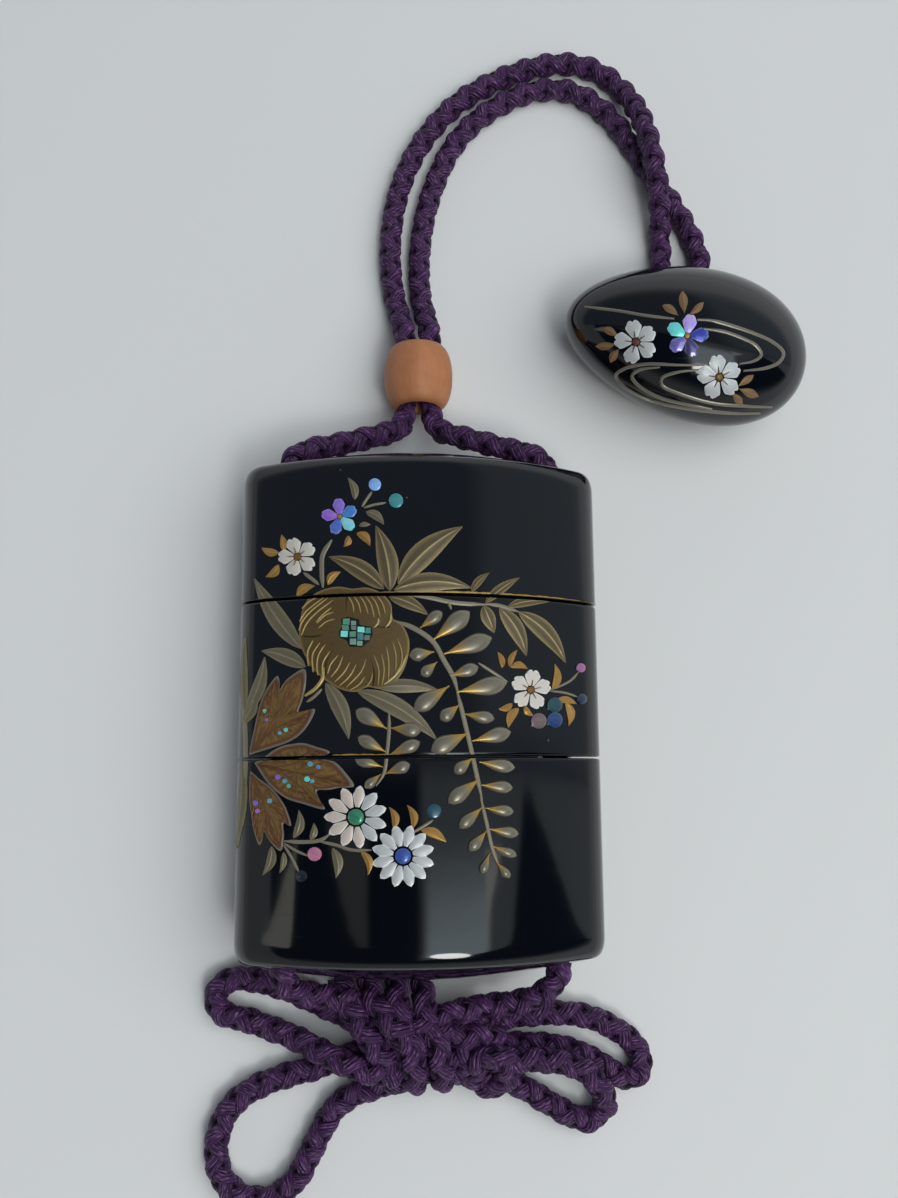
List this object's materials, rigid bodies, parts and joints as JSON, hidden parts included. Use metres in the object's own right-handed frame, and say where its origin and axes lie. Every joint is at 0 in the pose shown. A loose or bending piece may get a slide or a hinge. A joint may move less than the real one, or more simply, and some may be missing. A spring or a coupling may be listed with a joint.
{
  "type": "inro case",
  "caption": "Oval lacquered stacking case with inlaid flower decoration, lying with its braided cord, wooden cord bead, egg-shaped toggle and tied bow.",
  "frame": {"origin": "on the surface that the case lies on, at the narrow flat in the middle of the case's back", "axes": "+Y from the base to the lid, +X to the case's right seen from its front, +Z from the back to the decorated front"},
  "size_m": [0.1069, 0.2103, 0.0259],
  "materials": {
    "lacquer": "glossy black lacquer",
    "maki_e_gold": "raised gold and silver lacquer picture, satin",
    "shell_inlay": "blue and violet mother-of-pearl inlay",
    "bead_wood": "smooth reddish-brown wood",
    "cord_silk": "dark purple braided silk"
  },
  "bodies": {
    "root": {"lid": "lacquer", "middle_case": "lacquer", "bottom_case": "lacquer", "ojime_bead": "bead_wood", "netsuke": "lacquer", "bow_knot": "cord_silk", "cord_in_bead": "cord_silk", "cord_arc_outer": "cord_silk", "cord_arc_inner": "cord_silk", "cord_left_top": "cord_silk", "cord_right_top": "cord_silk", "cord_left_channel": "cord_silk", "cord_right_channel": "cord_silk", "cord_left_base": "cord_silk", "cord_right_base": "cord_silk", "cord_bow_left": "cord_silk", "cord_bow_lower": "cord_silk", "cord_bow_right": "cord_silk", "cord_bow_small": "cord_silk"}
  },
  "joints": []
}
